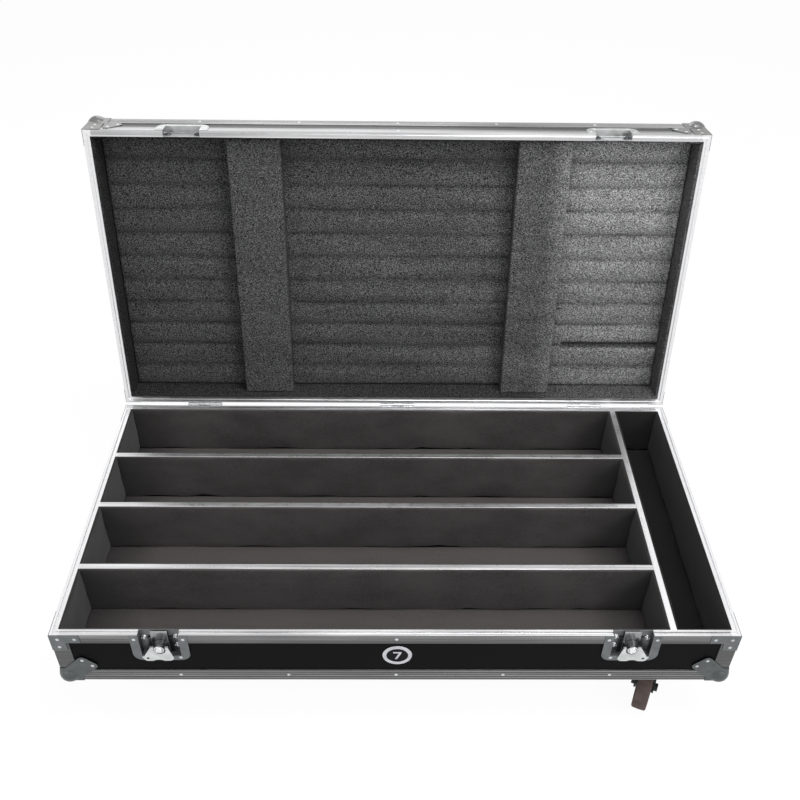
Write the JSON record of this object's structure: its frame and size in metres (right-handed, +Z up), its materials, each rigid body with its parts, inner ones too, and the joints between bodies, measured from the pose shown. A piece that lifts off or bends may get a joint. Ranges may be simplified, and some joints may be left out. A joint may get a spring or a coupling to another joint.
{
  "type": "lighting flight case",
  "caption": "Shallow black flight case on swivel castors, with a foam lined hinged lid, long lined bays and a side bay.",
  "frame": {"origin": "on the floor under the middle of the case's outline with its lid open", "axes": "+Z up, +X to the right along the case's front, +Y from the front to the hinges"},
  "size_m": [1.241, 0.8056, 0.8793],
  "materials": {
    "extruded_aluminium": "satin",
    "black_laminate_ply": "fine pebbled laminate",
    "grey_foam": "open soft foam",
    "black_lining": "thin foam lining",
    "black_steel": "satin black",
    "grey_rubber": "matt",
    "zinc_steel": "zinc plated",
    "chrome_steel": "bright plated"
  },
  "bodies": {
    "base": {"base_front_panel": "black_laminate_ply", "base_back_panel": "black_laminate_ply", "base_left_panel": "black_laminate_ply", "base_right_panel": "black_laminate_ply", "base_floor_panel": "black_laminate_ply", "base_rim_edging": "extruded_aluminium", "base_bottom_edging": "extruded_aluminium", "base_corner_angles": "extruded_aluminium", "base_ball_corners": "zinc_steel", "base_corner_braces": "zinc_steel", "base_rivets": "zinc_steel", "long_divider_front": "black_laminate_ply", "long_divider_middle": "black_laminate_ply", "long_divider_back": "black_laminate_ply", "cross_divider": "black_laminate_ply", "divider_channels": "extruded_aluminium", "long_bay_linings": "black_lining", "side_bay_lining": "black_lining", "latch_dishes": "zinc_steel", "latch_brackets": "zinc_steel", "hinge_base_leaves": "zinc_steel", "hinge_pins": "zinc_steel", "castor_plates": "zinc_steel", "castor_bolts": "zinc_steel", "handle_plates": "zinc_steel"},
    "lid": {"lid_top_panel": "black_laminate_ply", "lid_front_wall": "black_laminate_ply", "lid_back_wall": "black_laminate_ply", "lid_side_walls": "black_laminate_ply", "lid_rim_edging": "extruded_aluminium", "lid_top_edging": "extruded_aluminium", "lid_corner_angles": "extruded_aluminium", "lid_ball_corners": "zinc_steel", "lid_corner_braces": "zinc_steel", "lid_rivets": "zinc_steel", "lid_wall_lining": "grey_foam", "lid_foam_sheet": "grey_foam", "lid_foam_block_left": "grey_foam", "lid_foam_block_right": "grey_foam", "latch_keepers": "zinc_steel", "hinge_lid_leaves": "zinc_steel"},
    "latch_hub_left": {"latch_hub_left": "chrome_steel"},
    "latch_wing_left": {"latch_wing_left": "chrome_steel"},
    "latch_tongue_left": {"latch_tongue_left": "chrome_steel"},
    "handle_bail_left": {"handle_bail_left": "chrome_steel"},
    "latch_hub_right": {"latch_hub_right": "chrome_steel"},
    "latch_wing_right": {"latch_wing_right": "chrome_steel"},
    "latch_tongue_right": {"latch_tongue_right": "chrome_steel"},
    "handle_bail_right": {"handle_bail_right": "chrome_steel"},
    "castor_fork_front_left": {"castor_fork_front_left": "black_steel"},
    "castor_wheel_front_left": {"castor_wheel_front_left": "grey_rubber"},
    "castor_fork_front_right": {"castor_fork_front_right": "black_steel"},
    "castor_wheel_front_right": {"castor_wheel_front_right": "grey_rubber"},
    "castor_fork_back_left": {"castor_fork_back_left": "black_steel"},
    "castor_wheel_back_left": {"castor_wheel_back_left": "grey_rubber"},
    "castor_fork_back_right": {"castor_fork_back_right": "black_steel"},
    "castor_wheel_back_right": {"castor_wheel_back_right": "grey_rubber"}
  },
  "joints": [
    {"name": "lid_hinge", "type": "hinge", "parent": "base", "child": "lid", "pos_m": [0, 0.2312, 0.2592], "axis": [1, 0, 0], "range_deg": [0, 98]},
    {"name": "latch_left_turn", "type": "hinge", "parent": "base", "child": "latch_hub_left", "pos_m": [-0.42, -0.3938, 0.229], "axis": [0, -1, 0], "range_deg": [0, 180]},
    {"name": "latch_left_wing_fold", "type": "hinge", "parent": "latch_hub_left", "child": "latch_wing_left", "pos_m": [-0.42, -0.3988, 0.229], "axis": [-1, 0, 0], "range_deg": [0, 90]},
    {"name": "latch_left_hook_lift", "type": "slide", "parent": "base", "child": "latch_tongue_left", "axis": [0, 0, 1], "range_m": [0, 0.016]},
    {"name": "latch_right_turn", "type": "hinge", "parent": "base", "child": "latch_hub_right", "pos_m": [0.42, -0.3938, 0.229], "axis": [0, -1, 0], "range_deg": [0, 180]},
    {"name": "latch_right_wing_fold", "type": "hinge", "parent": "latch_hub_right", "child": "latch_wing_right", "pos_m": [0.42, -0.3988, 0.229], "axis": [-1, 0, 0], "range_deg": [0, 90]},
    {"name": "latch_right_hook_lift", "type": "slide", "parent": "base", "child": "latch_tongue_right", "axis": [0, 0, 1], "range_m": [0, 0.016]},
    {"name": "handle_left_swing", "type": "hinge", "parent": "base", "child": "handle_bail_left", "pos_m": [-0.6155, -0.0838, 0.2145], "axis": [0, 1, 0], "range_deg": [0, 90]},
    {"name": "handle_right_swing", "type": "hinge", "parent": "base", "child": "handle_bail_right", "pos_m": [0.6155, -0.0838, 0.2145], "axis": [0, -1, 0], "range_deg": [0, 90]},
    {"name": "castor_front_left_swivel", "type": "hinge", "parent": "base", "child": "castor_fork_front_left", "pos_m": [-0.499, -0.3178, 0.1065], "axis": [0, 0, 1], "continuous": true},
    {"name": "castor_front_left_roll", "type": "hinge", "parent": "castor_fork_front_left", "child": "castor_wheel_front_left", "pos_m": [-0.499, -0.2798, 0.05], "axis": [-1, 0, 0], "continuous": true},
    {"name": "castor_front_right_swivel", "type": "hinge", "parent": "base", "child": "castor_fork_front_right", "pos_m": [0.499, -0.3178, 0.1065], "axis": [0, 0, 1], "continuous": true},
    {"name": "castor_front_right_roll", "type": "hinge", "parent": "castor_fork_front_right", "child": "castor_wheel_front_right", "pos_m": [0.48385, -0.35265, 0.05], "axis": [0.9171, -0.3987, 0], "continuous": true},
    {"name": "castor_back_left_swivel", "type": "hinge", "parent": "base", "child": "castor_fork_back_left", "pos_m": [-0.499, 0.1502, 0.1065], "axis": [0, 0, 1], "continuous": true},
    {"name": "castor_back_left_roll", "type": "hinge", "parent": "castor_fork_back_left", "child": "castor_wheel_back_left", "pos_m": [-0.499, 0.1882, 0.05], "axis": [-1, 0, 0], "continuous": true},
    {"name": "castor_back_right_swivel", "type": "hinge", "parent": "base", "child": "castor_fork_back_right", "pos_m": [0.499, 0.1502, 0.1065], "axis": [0, 0, 1], "continuous": true},
    {"name": "castor_back_right_roll", "type": "hinge", "parent": "castor_fork_back_right", "child": "castor_wheel_back_right", "pos_m": [0.499, 0.1882, 0.05], "axis": [-1, 0, 0], "continuous": true}
  ],
  "couplings": [
    {"joint": "latch_left_hook_lift", "follows": "latch_left_turn", "m_per_rad": 0.0049338},
    {"joint": "latch_right_hook_lift", "follows": "latch_right_turn", "m_per_rad": 0.0049338}
  ]
}
